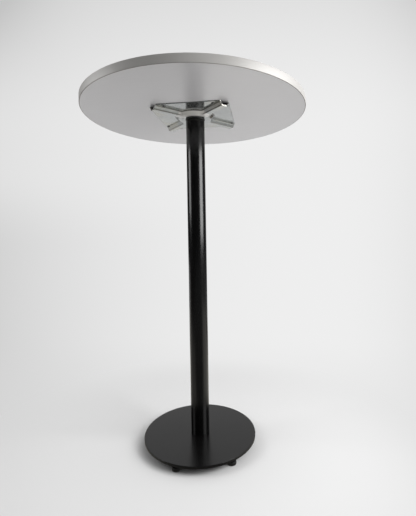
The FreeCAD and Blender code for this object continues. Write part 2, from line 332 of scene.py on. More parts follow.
plastic = {
    "dust": (0.05, 0.05, 0.048), "dustFrom": (0.55, 0.8), "dustShare": 0.4, "dustScale": 180.0,
    "uneven": 0.12, "grainScale": 1500.0, "bump": (0.25, 0.03),
    "ring": ((0.012, 0.012, 0.012), 0.3), "foot": ((0.008, 0.008, 0.008), 0.22),     # colour and roughness
}


def blackPlastic(name, part):
    paint = Paint(name)
    place = paint.place()
    grain = paint.noise(place, plastic["grainScale"], detail=2)
    dust = paint.noise(place, plastic["dustScale"], detail=4).fade(*plastic["dustFrom"])
    colour, roughness = plastic[part]
    return paint.surface({
        "Base Color": paint.mix(dust * plastic["dustShare"], colour, plastic["dust"]),
        "Roughness": roughness + grain * plastic["uneven"],
        "Normal": paint.bump(grain, *plastic["bump"]),
    })


board = {
    "dark": (0.30, 0.19, 0.10), "light": (0.62, 0.46, 0.28), "chipScale": 420.0,
    "roughness": 0.85, "bump": (0.6, 0.3),
}


def particleBoard():
    paint = Paint("particleBoard")
    values = {"Vector": paint.place(), "Scale": board["chipScale"]}
    tone = paint.axis(paint.node("ShaderNodeTexVoronoi", values=values, out="Color"), "X")
    return paint.surface({
        "Base Color": paint.mix(tone, board["dark"], board["light"]),
        "Roughness": board["roughness"],
        "Normal": paint.bump(tone, *board["bump"]),
    })


finishes = {
    "silver_laminate": silverLaminate(),
    "silver_edge": silverEdge(),
    "particle_board": particleBoard(),
    "zinc_plated_steel": zincPlated("zincPlatedSteel"),
    "dark_screw_steel": darkScrewSteel(),
    "black_coated_steel": blackCoat("blackCoatedSteel", columnCoat),
    "black_plastic": blackPlastic("blackRingPlastic", "ring"),
    "plain_steel": plainSteel(),
    "zinc_fasteners": zincPlated("zincFasteners", 0.4),
    "black_base_coat": blackCoat("blackBaseCoat", baseCoat),
    "foot_plastic": blackPlastic("footPlastic", "foot"),
    "foot_stud_steel": zincPlated("footStudSteel", 0.2),
}
print("finishes made:", len(finishes))


# mesh helpers: sizes in mm, meshes in metres

tiny = 1e-9
sharpEdge = 32     # degrees from which an edge is drawn sharp


def fillets(corners, steps=5):
    # the points of a closed outline, given by its corners as (radius, height, fillet)
    points = []
    for index, (radius, height, fillet) in enumerate(corners):
        here = Vector((radius, height))
        if not fillet:
            points.append(here)
            continue
        before = (Vector(corners[index - 1][:2]) - here).normalized()
        after = (Vector(corners[(index + 1) % len(corners)][:2]) - here).normalized()
        half = before.angle(after) / 2
        centre = here + (before + after).normalized() * (fillet / math.sin(half))
        start = here + before * (fillet / math.tan(half)) - centre
        sweep = start.angle_signed(here + after * (fillet / math.tan(half)) - centre)
        for step in range(steps + 1):
            points.append(centre + Matrix.Rotation(-sweep * step / steps, 2) @ start)
    return points


def ringOf(mesh, centre, spots):
    # a point for each (radius, height) of spots, evenly round the centre
    ring = []
    for step, (radius, height) in enumerate(spots):
        angle = 2 * math.pi * step / len(spots)
        ring.append(mesh.verts.new(((centre[0] + radius * math.cos(angle)) * mm,
                                    (centre[1] + radius * math.sin(angle)) * mm, height * mm)))
    return ring


def joinRings(mesh, rings):
    # faces between each ring and the next, in a fan where one of them is a single point
    for first, second in zip(rings, rings[1:]):
        count = max(len(first), len(second))
        for step in range(count if count > 1 else 0):
            after = (step + 1) % count
            if len(first) == 1:
                mesh.faces.new((first[0], second[after], second[step]))
            elif len(second) == 1:
                mesh.faces.new((first[step], first[after], second[0]))
            else:
                mesh.faces.new((first[step], first[after], second[after], second[step]))


def turnedMesh(corners, segments, centre=(0, 0), mesh=None):
    # an outline turned round an upright axis
    mesh = mesh or bmesh.new()
    rings = [ringOf(mesh, centre, [(radius, height)] * (segments if radius > tiny else 1))
             for radius, height in fillets(corners)]
    joinRings(mesh, rings + rings[:1])
    return mesh


def boredMesh(inner, outer, low, high, innerRound, outerRound, segments):
    # a round piece with a straight bore
    return turnedMesh([(inner, low, innerRound), (outer, low, outerRound),
                       (outer, high, outerRound), (inner, high, innerRound)], segments)


def shade(mesh, sharp):
    for face in mesh.faces:
        face.smooth = True
    for edge in mesh.edges:
        edge.smooth = len(edge.link_faces) != 2 or edge.calc_face_angle() <= math.radians(sharp)


def addObject(name, data):
    made = bpy.data.objects.new(name, data)
    scene.collection.objects.link(made)
    return made


def addMesh(name, mesh):
    data = bpy.data.meshes.new(name)
    mesh.to_mesh(data)
    mesh.free()
    return addObject(name, data)


def asPiece(name, mesh, slot, sharp=sharpEdge):
    bmesh.ops.recalc_face_normals(mesh, faces=mesh.faces[:])
    shade(mesh, sharp)
    piece = addMesh(name, mesh)
    piece.data.materials.append(finishes[slot])
    return piece


def settle(piece, body, slot, *replaced):
    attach(piece, body)
    if replaced:
        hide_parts(*replaced)


def addPiece(name, mesh, slot, body, *replaced, sharp=sharpEdge):
    settle(asPiece(name, mesh, slot, sharp), body, slot, *replaced)


def cutAway(piece, shape, sharp=sharpEdge, upright=0.9999):
    # takes a shape out of the piece, for good
    bmesh.ops.recalc_face_normals(shape, faces=shape.faces[:])
    cutter = addMesh("cutter", shape)
    modifier = piece.modifiers.new("cut", "BOOLEAN")
    modifier.object = cutter
    modifier.solver = "EXACT"
    depsgraph = bpy.context.evaluated_depsgraph_get()
    result = bpy.data.meshes.new_from_object(piece.evaluated_get(depsgraph))
    piece.modifiers.clear()
    piece.data = result
    bpy.data.objects.remove(cutter)
    # a flat face with holes in it is cut into triangles and stays flat
    mesh = bmesh.new()
    mesh.from_mesh(result)
    bmesh.ops.triangulate(mesh, faces=[face for face in mesh.faces if len(face.verts) > 4])
    shade(mesh, sharp)
    for face in mesh.faces:
        face.smooth = abs(face.normal.z) < upright
    mesh.to_mesh(result)
    mesh.free()


# table top

def makeEdgeBand():
    outer = top["radius"]
    mesh = boredMesh(outer - band["thickness"], outer, top["underside"], top["height"], 0, band["round"],
                     band["segments"])
    addPiece("edgeBand", mesh, "silver_edge", "table", "edge_band")


makeEdgeBand()
print("top made")


# pressed bracket: ribHalf, hub and blend are each given at the wall's foot and at its crest

bracket = {
    "width": 240.0, "cornerCut": 24.0, "cornerRound": 4.0, "cornerSteps": 4,
    "sheet": 2.5, "depth": 10.5, "edgeLean": 17.0,
    "ribHalf": (17.6, 8.5), "hub": (67.5, 48.0), "blend": (10.0, 14.0), "footBend": 0.56, "crestBend": 0.34,
    "wallSteps": (0.0, 0.08, 0.16, 0.24, 0.32, 0.41, 0.5, 0.57, 0.64, 0.71, 0.79, 0.86, 0.93, 1.0),
    "halvings": 24, "ribSteps": 30, "blendSteps": 8, "hubSteps": 24, "overrun": 8.0, "plateGrid": 5.0,
    "hubHole": {"radius": 2.25, "out": 40.5, "angle": 205.0},
    "hubSlot": {"length": 13.0, "width": 4.0, "out": 57.0, "angle": -11.0, "steps": 8},
    "rodHole": 5.5, "rodHoleSteps": 24, "screwHole": 2.5, "holeSteps": 20,
    "screws": ((73.0, 106.0), (112.0, 82.0)),
    "samePoint": 0.01, "crease": 50,
}


def starShape(share, ribInset=0.0, hubInset=0.0):
    ribHalf, hub, blend = (foot + share * (crest - foot)
                           for foot, crest in (bracket[name] for name in ("ribHalf", "hub", "blend")))
    return ribHalf - ribInset, hub - hubInset, blend + ribInset


def insideStar(along, across, shape):
    ribHalf, hub, blend = shape
    middle = np.sqrt((hub + blend) ** 2 - (ribHalf + blend) ** 2)
    inHub = along ** 2 + across ** 2 <= hub ** 2
    inRib = across <= ribHalf
    inBlend = (along <= middle) & (across * middle <= along * (ribHalf + blend))
    inBlend &= (along - middle) ** 2 + (across - ribHalf - blend) ** 2 >= blend ** 2
    inBlend &= across <= ribHalf + blend
    return inHub | inRib | inBlend


def pressShare(x, y, ribInset=0.0, hubInset=0.0):
    # how far down the pressed wall a point of the plan lies, 0 on the plate and 1 on the crest
    first, second = np.abs(x + y) / math.sqrt(2), np.abs(x - y) / math.sqrt(2)
    along, across = np.maximum(first, second), np.minimum(first, second)
    low, high = np.zeros_like(along), np.ones_like(along)
    outside = ~insideStar(along, across, starShape(low, ribInset, hubInset))
    crest = insideStar(along, across, starShape(high, ribInset, hubInset))
    for _ in range(bracket["halvings"]):
        half = (low + high) / 2
        inside = insideStar(along, across, starShape(half, ribInset, hubInset))
        low, high = np.where(inside, half, low), np.where(inside, high, half)
    return np.where(outside, 0.0, np.where(crest, 1.0, low))


def pressFall(run):
    # share of the depth reached at a share of the wall's run: a bend, a slope, a bend
    foot, crest = bracket["footBend"], bracket["crestBend"]
    steep = 1 / (1 - (foot + crest) / 2)
    slope = steep * (run - foot / 2)
    slope = np.where(run < foot, steep * run ** 2 / (2 * foot), slope)
    return np.where(run > 1 - crest, 1 - steep * (1 - run) ** 2 / (2 * crest), slope)


def starLine(share):
    # points of the plan outline at one step down the wall, quarter by quarter: rib, blend and hub
    ribHalf, hub, blend = starShape(share)
    middle = math.sqrt((hub + blend) ** 2 - (ribHalf + blend) ** 2)
    lean = math.atan2(ribHalf + blend, middle)
    reach = bracket["width"]
    ribSteps, blendSteps, hubSteps = bracket["ribSteps"], bracket["blendSteps"], bracket["hubSteps"]
    run = [(reach - (reach - middle) * step / ribSteps, ribHalf) for step in range(ribSteps)]
    for step in range(blendSteps + 1):
        angle = -math.pi / 2 - (math.pi / 2 - lean) * step / blendSteps
        run.append((middle + blend * math.cos(angle), ribHalf + blend + blend * math.sin(angle)))
    for step in range(1, hubSteps):
        angle = lean + (math.pi / 2 - 2 * lean) * step / hubSteps
        run.append((hub * math.cos(angle), hub * math.sin(angle)))
    half = [point for point in run if math.atan2(point[1], point[0]) <= math.pi / 4]
    quarter = half + [(v, u) for u, v in reversed(half)]
    turns = [Matrix.Rotation(math.radians(45 + 90 * index), 2) for index in range(4)]
    return [[turn @ Vector(point) for point in quarter] for turn in turns]


def plateOutline():
    # a square with its corners cut off, one side and the cut after it at a time
    half, cut = bracket["width"] / 2, bracket["cornerCut"]
    side, corners = [(half, cut - half), (half, half - cut)], []
    for _ in range(4):
        corners += [(x, y, bracket["cornerRound"]) for x, y in side]
        side = [(-y, x) for x, y in side]
    return fillets(corners, bracket["cornerSteps"])


def screwPlaces():
    return [(signX * x, signY * y) for x, y in bracket["screws"] for signX in (-1, 1) for signY in (-1, 1)]


def circle(x, y, radius, count):
    return [Vector((x + radius * math.cos(2 * math.pi * step / count),
                    y + radius * math.sin(2 * math.pi * step / count))) for step in range(count)]


def slotLine(slot):
    # a slot across the way out from the middle, closed
    half, end, steps = slot["width"] / 2, (slot["length"] - slot["width"]) / 2, slot["steps"]
    line = []
    for side, start in ((1, 0), (-1, math.pi)):
        for step in range(steps + 1):
            angle = math.pi * step / steps + start
            line.append(Vector((slot["out"] + half * math.cos(angle), side * end + half * math.sin(angle))))
    turn = Matrix.Rotation(math.radians(slot["angle"]), 2)
    return [turn @ point for point in line]


def plateHoles():
    small, steps = bracket["hubHole"], bracket["holeSteps"]
    way = math.radians(small["angle"])
    holes = [
        circle(0, 0, bracket["rodHole"], bracket["rodHoleSteps"]),
        circle(small["out"] * math.cos(way), small["out"] * math.sin(way), small["radius"], steps),
        slotLine(bracket["hubSlot"]),
    ]
    return holes + [circle(x, y, bracket["screwHole"], steps) for x, y in screwPlaces()]


def insideLine(x, y, line):
    # the line is closed and convex and runs counter-clockwise
    for first, second in zip(line, line[1:] + line[:1]):
        if (second.x - first.x) * (y - first.y) - (second.y - first.y) * (x - first.x) < -tiny:
            return False
    return True


def outwards(point, line):
    # the way out of a closed counter-clockwise line at a point on it, nothing for any other point
    for first, second in zip(line, line[1:] + line[:1]):
        along, run = second - first, point - first
        share = min(max(run.dot(along) / along.length_squared, 0.0), 1.0)
        if (run - along * share).length < bracket["samePoint"]:
            return Vector((along.y, -along.x)).normalized()
    return Vector((0, 0))


def platePlan(outline, holes):
    # the sheet seen from above, as points and triangles that follow the lines down the pressed wall
    points, lines = [], []

    def addLine(line, closed):
        start = len(points)
        points.extend(line)
        lines.extend((start + step, start + step + 1) for step in range(len(line) - 1))
        if closed:
            lines.append((start + len(line) - 1, start))

    for line in [outline] + holes:
        addLine(line, True)
    half, pitch = bracket["width"] / 2, bracket["plateGrid"]
    for share in bracket["wallSteps"]:
        for line in starLine(share):
            addLine([p for p in line if max(abs(p.x), abs(p.y)) < half + bracket["overrun"]], False)
    count = int(half / pitch)
    rows = [step * pitch for step in range(-count, count + 1)]
    grid = [Vector((u, v)) for u in rows for v in rows]
    shares = pressShare(np.array([p.x for p in grid]), np.array([p.y for p in grid]))
    points += [p for p, share in zip(grid, shares) if share in (0, 1)]     # the wall has its own points
    flat, _, faces, *_ = delaunay_2d_cdt(points, lines, [], 0, bracket["samePoint"])
    kept = []
    for face in faces:
        x, y = (sum(flat[i][axis] for i in face) / 3 for axis in (0, 1))
        if insideLine(x, y, outline) and not any(insideLine(x, y, hole) for hole in holes):
            kept.append(face)
    return flat, kept


def makeBracket():
    sheet, depth = bracket["sheet"], bracket["depth"]
    outline = plateOutline()
    flat, faces = platePlan(outline, plateHoles())
    x, y = (np.array([p[axis] for p in flat]) for axis in (0, 1))

    # the upper face turns down a little further in than the lower one, which keeps the sheet's thickness
    insets = [sheet * math.tan(math.atan2(depth, foot - crest) / 2)
              for foot, crest in (bracket["ribHalf"], bracket["hub"])]
    low = top["underside"] - sheet - depth * pressFall(pressShare(x, y))
    high = top["underside"] - depth * pressFall(pressShare(x, y, *insets))

    # the sheared outer edge leans in towards its low side
    lean = sheet * math.tan(math.radians(bracket["edgeLean"])) / 2
    leaning = [outwards(point, outline) * lean for point in flat]
    mesh = bmesh.new()
    lowVerts = [mesh.verts.new(((a - out.x) * mm, (b - out.y) * mm, c * mm))
                for a, b, c, out in zip(x, y, low, leaning)]
    highVerts = [mesh.verts.new(((a + out.x) * mm, (b + out.y) * mm, c * mm))
                 for a, b, c, out in zip(x, y, high, leaning)]
    sides = {}
    for face in faces:
        mesh.faces.new([lowVerts[i] for i in reversed(face)])
        mesh.faces.new([highVerts[i] for i in face])
        sides.update(dict.fromkeys(zip(face, face[1:] + face[:1])))
    for a, b in sides:
        if (b, a) not in sides:     # a side of one triangle alone is on the rim
            mesh.faces.new((lowVerts[a], lowVerts[b], highVerts[b], highVerts[a]))
    for vert in [v for v in mesh.verts if not v.link_faces]:
        mesh.verts.remove(vert)
    addPiece("topBracket", mesh, "zinc_plated_steel", "table", "top_bracket", sharp=bracket["crease"])


makeBracket()
print("bracket made")


# screws of the bracket

screw = {
    "head": 4.5, "crown": 2.7, "crownOut": 2.79, "crownRound": 1.2, "rim": 0.9, "rimRound": 0.7,
    "shank": 1.95, "grip": 14.0, "tip": 4.0, "segments": 40, "crease": 40, "seed": 4,
    "recessArm": 2.3, "recessWidth": 0.85, "recessDepth": 1.7, "recessEnd": 0.45, "recessStart": 0.2,
}


def crossRecess(seat):
    # a tapered cross, taken out of the head from below
    mesh = bmesh.new()
    face = seat - screw["crown"] - screw["recessStart"]
    rings = []
    for height, share in ((face, 1.0), (face + screw["recessDepth"], screw["recessEnd"])):
        arm, half = screw["recessArm"] * share, screw["recessWidth"] * (1 + share) / 4
        ring = []
        for turn in range(4):
            spin = Matrix.Rotation(math.pi / 2 * turn, 2)
            for corner in ((arm, -half), (arm, half), (half, half)):
                x, y = spin @ Vector(corner)
                ring.append(mesh.verts.new((x * mm, y * mm, height * mm)))
        mesh.faces.new(ring)
        rings.append(ring)
    joinRings(mesh, rings)
    return mesh


def makeScrews():
    seat = top["underside"] - bracket["sheet"]
    face, end, shank = seat - screw["crown"], seat + screw["grip"], screw["shank"]
    mesh = turnedMesh([
        (0, face, 0), (screw["crownOut"], face, screw["crownRound"]),
        (screw["head"], seat - screw["rim"], screw["rimRound"]), (screw["head"], seat, 0),
        (shank, seat, 0), (shank, end - screw["tip"], 0), (0, end, 0),
    ], screw["segments"])
    one = asPiece("bracketScrews", mesh, "dark_screw_steel", screw["crease"])
    cutAway(one, crossRecess(seat))
    mesh = bmesh.new()
    random.seed(screw["seed"])
    for x, y in screwPlaces():
        before = len(mesh.verts)
        mesh.from_mesh(one.data)
        mesh.verts.ensure_lookup_table()
        spin = Matrix.Rotation(random.uniform(0, math.pi / 2), 4, "Z")
        place = Matrix.Translation((x * mm, y * mm, 0))
        bmesh.ops.transform(mesh, matrix=place @ spin, verts=mesh.verts[before:])
    mesh.to_mesh(one.data)
    mesh.free()
    settle(one, "table", "dark_screw_steel", "bracket_screws")


makeScrews()
print("screws made")


# column, its rings and the tie rod

column = {
    "wall": 2.0, "soft": 0.4, "segments": 160, "rimRound": 0.5, "holeRound": 0.3,
    "spigot": 14.0, "spigotRound": 0.8, "ringWall": 4.0, "ringFit": 0.15,
}


def makeColumn():
    radius, low, high = span("column_tube")
    inner, soft = radius - column["wall"], column["soft"]
    mesh = boredMesh(inner, radius, low, high, soft, soft, column["segments"])
    addPiece("columnTube", mesh, "black_coated_steel", "table", "column_tube")

    # the ring under the hub, with its spigot in the tube
    rim, _, face = span("column_top_ring")
    outer, soft, end = inner - column["ringFit"], column["rimRound"], high - column["spigot"]
    bore, hole = outer - column["ringWall"], bracket["rodHole"]
    mesh = turnedMesh([
        (hole, face, column["holeRound"]), (rim, face, soft), (rim, high, soft), (outer, high, 0),
        (outer, end, column["spigotRound"]), (bore, end, column["spigotRound"]), (bore, high, 0),
        (hole, high, column["holeRound"]),
    ], column["segments"])
    addPiece("columnTopRing", mesh, "black_plastic", "table", "column_top_ring")


rod = {
    "pitch": 1.5, "threadDeep": 0.9, "threadLong": 32.0, "stepsPerPitch": 6, "segments": 36,
    "neck": 0.3, "chamfer": 1.0, "crease": 60,
}
threadFlank = 0.4     # share of the pitch that one flank takes


def threadDip(height, turn, thread):
    # how far the surface lies inside the crest of a right-hand thread
    phase = (height / thread["pitch"] - turn) % 1.0
    return thread["threadDeep"] * min(1.0, (0.5 - abs(phase - 0.5)) / threadFlank)


def threadedMesh(profile, thread, runs, centre=(0, 0)):
    # profile lists (radius, height) from the axis to the axis, runs the stretches of height with a thread
    spots = []
    for (radius, height), (nextRadius, nextHeight) in zip(profile, profile[1:]):
        widen, rise, count = nextRadius - radius, nextHeight - height, 1
        if abs(widen) < tiny and any(low <= height and nextHeight <= high for low, high in runs):
            count = max(1, round(abs(rise) / thread["pitch"] * thread["stepsPerPitch"]))
        spots += [(radius + widen * step / count, height + rise * step / count) for step in range(count)]
    spots.append(profile[-1])
    mesh, rings = bmesh.new(), []
    for radius, height in spots:
        count = thread["segments"] if radius > tiny else 1
        cut = any(low <= height <= high for low, high in runs)
        dips = [threadDip(height, step / count, thread) if cut else 0 for step in range(count)]
        rings.append(ringOf(mesh, centre, [(radius - dip, height) for dip in dips]))
    joinRings(mesh, rings)
    return mesh


def makeTieRod():
    radius, low, high = span("tie_rod")
    chamfer, run, neck = rod["chamfer"], rod["threadLong"], radius - rod["neck"]
    profile = [
        (0, low), (radius - chamfer, low), (radius, low + chamfer), (radius, low + run), (neck, low + run),
        (neck, high - run), (radius, high - run), (radius, high - chamfer), (radius - chamfer, high),
        (0, high),
    ]
    mesh = threadedMesh(profile, rod, [(low + chamfer, low + run), (high - run, high - chamfer)])
    addPiece("tieRod", mesh, "zinc_fasteners", "table", "tie_rod", sharp=rod["crease"])


def hexagon(mesh, centre, flats, low, high, shape):
    # four rings from low to high, where the corners fall away from a round
    half, steps = flats / 2, shape["flatSteps"]
    out = half - shape["chamfer"]
    angles = [math.pi / 3 * (step % steps) / steps - math.pi / 6 for step in range(6 * steps)]
    reaches = [half / math.cos(angle) for angle in angles]
    corners = [(reach, (reach - half + shape["fallEarly"]) * shape["fall"]) for reach in reaches]
    return [ringOf(mesh, centre, spots) for spots in (
        [(out, low)] * len(reaches), [(reach, low + drop) for reach, drop in corners],
        [(reach, high - drop) for reach, drop in corners], [(out, high)] * len(reaches))]


nut = {
    "bore": 4.35, "boreMouth": 5.2, "mouthDeep": 0.9, "flatSteps": 8, "chamfer": 0.15, "fallEarly": 0.15,
    "fall": math.tan(math.radians(30.0)), "crease": 28, "washerRound": 0.35, "washerSegments": 96,
}


def makeNut(name, node):
    start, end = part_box(node)
    low, high, deep = start.z / mm, end.z / mm, nut["mouthDeep"]
    mesh = bmesh.new()
    rings = hexagon(mesh, (0, 0), (end.y - start.y) / mm, low, high, nut)
    for spot in ((nut["boreMouth"], high), (nut["bore"], high - deep), (nut["bore"], low + deep),
                 (nut["boreMouth"], low)):
        rings.append(ringOf(mesh, (0, 0), [spot] * len(rings[0])))
    joinRings(mesh, rings + rings[:1])
    addPiece(name, mesh, "zinc_fasteners", "table", node, sharp=nut["crease"])


def makeWasher(name, node):
    radius, low, high = span(node)
    soft = nut["washerRound"]
    mesh = boredMesh(bracket["rodHole"], radius, low, high, soft, soft, nut["washerSegments"])
    addPiece(name, mesh, "zinc_fasteners", "table", node)


makeColumn()
makeTieRod()
makeNut("tieRodTopNut", "tie_rod_top_nut")
makeNut("tieRodBaseNut", "tie_rod_base_nut")
makeWasher("tieRodTopWasher", "tie_rod_top_washer")
makeWasher("tieRodBaseWasher", "tie_rod_base_washer")
print("column and tie rod made")


# base plate, its bushes and the levelling feet

base = {
    "soft": 0.9, "holeSoft": 0.4, "segments": 256,
    "blindHole": 4.05, "blindDeep": 6.0, "blindSegments": 40, "cutBelow": 1.0,
}
feet = {"count": 6, "inset": 19.5, "firstAngle": 15.0}


def footPlaces():
    out = span("base_plate")[0] - feet["inset"]
    ways = [math.radians(feet["firstAngle"] + 360 / feet["count"] * index) for index in range(feet["count"])]
    return [(out * math.cos(way), out * math.sin(way)) for way in ways]


def makeBase():
    radius, low, high = span("base_plate")
    mesh = boredMesh(bracket["rodHole"], radius, low, high, base["holeSoft"], base["soft"], base["segments"])
    piece = asPiece("basePlate", mesh, "black_base_coat")
    hole, start, end = base["blindHole"], low - base["cutBelow"], low + base["blindDeep"]
    holes = None
    for place in footPlaces():
        holes = turnedMesh([(0, start, 0), (hole, start, 0), (hole, end, 0), (0, end, 0)],
                           base["blindSegments"], place, holes)
    cutAway(piece, holes)
    settle(piece, "table", "black_base_coat", "base_plate")


bush = {
    "radius": 8.5, "mouthRound": 0.5, "rimRound": 0.6, "segments": 72,
    "bead": 1.5, "beadUneven": (0.75, 1.15), "beadSteps": 48, "beadArc": 6, "beadBack": 0.8, "sunk": 0.1,
    "crease": 60, "seed": 11,
}


def beadSection(high):
    # one cut through the welding bead round a bush, as (radius, height), a little uneven from cut to cut
    wide = bush["bead"] * random.uniform(*bush["beadUneven"])
    sunk, back = bush["sunk"], wide * bush["beadBack"]
    root = bush["radius"] - sunk
    leans = [math.pi / 2 * corner / bush["beadArc"] for corner in range(bush["beadArc"] + 1)]
    section = [(root + wide * math.cos(lean), high - wide * math.sin(lean)) for lean in leans]
    inner, upper = root - sunk, high + 2 * sunk
    return section + [(inner, high - back), (inner, upper), (root + back, upper)]


def makeBushes():
    low, high = (corner.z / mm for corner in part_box("foot_bushes"))
    hole, radius = base["blindHole"], bush["radius"]
    mesh = None
    for place in footPlaces():
        mesh = turnedMesh([(hole, low, bush["mouthRound"]), (radius, low, bush["rimRound"]),
                           (radius, high, 0), (hole, high, 0)], bush["segments"], place, mesh)
    addPiece("footBushes", mesh, "black_base_coat", "table", "foot_bushes")
    random.seed(bush["seed"])
    mesh = bmesh.new()
    for place in footPlaces():
        sections = [beadSection(high) for step in range(bush["beadSteps"])]
        rings = [ringOf(mesh, place, spots) for spots in zip(*sections)]
        joinRings(mesh, rings + rings[:1])
    addPiece("bushBeads", mesh, "black_base_coat", "table", sharp=bush["crease"])


pad = {
    "tread": 6.2, "treadRound": 0.5, "floorRound": 1.6, "groove": 1.2, "grooveDeep": 1.6, "grooveRound": 0.3,
    "shoulderInset": 1.0, "shoulderRound": 0.4, "topRound": 0.9, "neck": 4.05, "neckRound": 0.2,
    "floorThick": 3.0, "socket": 6.8, "socketHigh": 6.3, "segments": 96,
}
stud = {
    "pitch": 1.25, "threadDeep": 0.65, "segments": 32, "stepsPerPitch": 6,
    "shank": 3.98, "neck": 0.6, "tip": 0.8, "head": 6.5, "headRound": 0.4, "headHigh": 3.0, "headGap": 0.04,
    "flats": 13.0, "hexLow": 11.0, "hexHigh": 13.96, "flatSteps": 4, "chamfer": 0.2,
    "fallEarly": 0.0, "fall": 0.35, "crease": 45,
}


def makePad(number, place):
    node = "foot_%d_pad" % number
    radius, low, high = span(node)
    shoulder, waist = radius - pad["shoulderInset"], radius - pad["grooveDeep"]
    tread, grooveTop, soft = pad["tread"], pad["tread"] + pad["groove"], pad["grooveRound"]
    neck, socket, socketHigh, floor = pad["neck"], pad["socket"], pad["socketHigh"], pad["floorThick"]
    mesh = turnedMesh([
        (0, low, 0), (radius, low, pad["floorRound"]), (radius, tread, pad["treadRound"]),
        (waist, tread, soft), (waist, grooveTop, soft), (shoulder, grooveTop, pad["shoulderRound"]),
        (shoulder, high, pad["topRound"]), (neck, high, pad["neckRound"]),
        (neck, socketHigh, 0), (socket, socketHigh, 0), (socket, floor, 0), (0, floor, 0),
    ], pad["segments"], place)
    addPiece("foot%dPad" % number, mesh, "foot_plastic", node, node)


def makeStud(number, place):
    node = "foot_%d_stud" % number
    low, high = (corner.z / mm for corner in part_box(node))
    low, hexLow, hexHigh = low + stud["headGap"], stud["hexLow"], stud["hexHigh"]
    head, soft, seat = stud["head"], stud["headRound"], low + stud["headHigh"]
    shank, neck, tip = stud["shank"], stud["shank"] - stud["neck"], stud["tip"]
    profile = [
        (0, low), (head - soft, low), (head, low + soft), (head, seat - soft), (head - soft, seat),
        (neck, seat), (neck, hexHigh), (shank, hexHigh), (shank, high - tip), (shank - tip, high), (0, high),
    ]
    mesh = threadedMesh(profile, stud, [(hexHigh, high - tip)], place)
    rings = hexagon(mesh, place, stud["flats"], hexLow, hexHigh, stud)
    joinRings(mesh, rings)
    mesh.faces.new(rings[0])
    mesh.faces.new(rings[-1])
    addPiece("foot%dStud" % number, mesh, "foot_stud_steel", node, node, sharp=stud["crease"])


makeBase()
makeBushes()
for number, place in enumerate(footPlaces(), 1):
    makePad(number, place)
    makeStud(number, place)
print("base and feet made")


# finishes on the pieces that stay as they come

kept = {
    "top_core": "particle_board", "top_laminate": "silver_laminate", "underside_laminate": "silver_laminate",
    "column_foot_ring": "plain_steel",
}
for name, slot in kept.items():
    nodes[name].data.materials.clear()
    nodes[name].data.materials.append(finishes[slot])
print("finishes given to", len(kept), "nodes")


# camera, floor and room, in metres

view = {
    "place": (0.2186, -1.1246, 0.6775), "heading": -6.795, "pitch": -1.733, "roll": -0.839,
    "lens": 24.255, "shift": (-0.0289, -0.0227), "sensor": 36.0,
}

# the paper and the room as the lamps and the object's plain sides meet them
stage = {
    "size": 7.0, "squares": 8, "colour": (0.79, 0.79, 0.79),
    "end": (0.12, 0.12, 0.12), "endFrom": (-0.1, 0.7), "endOut": (0.9, 1.6),
    # the painted shadow on the paper close under the base: its strength, its middle and its reach
    "under": 0.4, "underMiddle": (-0.024, -0.01), "underOut": (0.15, 0.185),
    "glowOut": (0.36, 0.80), "mirrorOut": (0.12, 0.2),
    "ambient": (0.10, 0.68), "ambientFrom": (-0.6, 0.6),     # the room's plain light, from front and back
    "sides": 0.5, "sidesFrom": (0.1, 0.6),
    "nearRight": 0.6, "nearRightFrom": (0.2, 0.7), "nearFrom": (0.1, 0.5),
}

# the paper as the camera meets it: its paleness straight on, and its fall to the sides and at the top
backdrop = {
    "pale": 0.857, "middle": 0.15, "sideFall": 0.213, "rightFrom": 0.2, "least": 0.55, "behind": 0.75,
    "nearLeft": 0.68, "nearRight": 0.095, "nearFrom": (-0.85, 0.45), "farFrom": (-0.5, 1.2), "ahead": 0.2,
    "highSideFall": 0.11, "highFrom": (-0.03, 0.17), "topFrom": 0.25, "topFall": 1.2, "wallAhead": 0.1,
    "cornerFall": 2.0, "cornerMiddle": -0.15, "cornerOut": 0.6, "frontFrom": (0.0, 0.4),
}

# the paper as shiny pieces meet it: its paleness stretch by stretch, and where each stretch fades
mirrored = {
    "floor": 0.78, "nearFall": 0.5, "nearOut": (0.2, 0.36),
    "left": 0.36, "leftFrom": (0.08, 0.35), "leftBack": (0.15, 0.45),
    "dark": 0.12, "toCamera": (0.19, -0.98), "wedgeFrom": (0.05, 0.3), "wedgeSpread": (0.2, 3.0),
    "frontFrom": (0.1, 0.6), "frontOut": (0.7, 1.1), "frontRight": (0.6, 1.2),
    "rightFrom": (1.7, 2.3), "rightBack": (0.6, 1.3),
    "back": 0.14, "backFrom": (0.5, 0.9), "backEnd": (1.9, 2.5), "backSkew": (-0.1, 0.1),
    "backAside": (0.02, 0.15), "backLeft": (-1.05, -0.8), "backFar": (1.5, 1.8),
    "cornerFrom": (1.2, 1.8), "cornerRight": (0.7, 1.2), "least": 0.001,
    "warm": (1.0, 0.97, 0.88), "warmOut": (1.2, 2.4), "plain": (1.0, 1.0, 1.0),
    "brown": (0.40, 0.36, 0.345), "brownFrom": (1.1, 1.8), "brownBack": (0.5, 0.8),
    "wall": (0.02, 0.58), "wallFrom": (0.1, 0.8), "wallAside": (0.08, 0.4),     # the wall in front and behind
}


def grey(paint, value):
    return paint.node("ShaderNodeCombineColor", values={"Red": value, "Green": value, "Blue": value})


def farPaper(aside, fall):
    # paleness of the far paper, where aside is the way to the right over the way ahead
    out = aside - backdrop["middle"]
    right = (aside - backdrop["rightFrom"]).atLeast(0.0)
    return (backdrop["pale"] - out * out * fall - right * right).atLeast(backdrop["least"])


def shownFloor(x, y):
    aside = (x - view["place"][0]) / (y - view["place"][1]).atLeast(backdrop["ahead"])
    near = backdrop["nearLeft"] + aside.fade(*backdrop["nearFrom"]) * backdrop["nearRight"]
    return near + (farPaper(aside, backdrop["sideFall"]) - near) * y.fade(*backdrop["farFrom"])


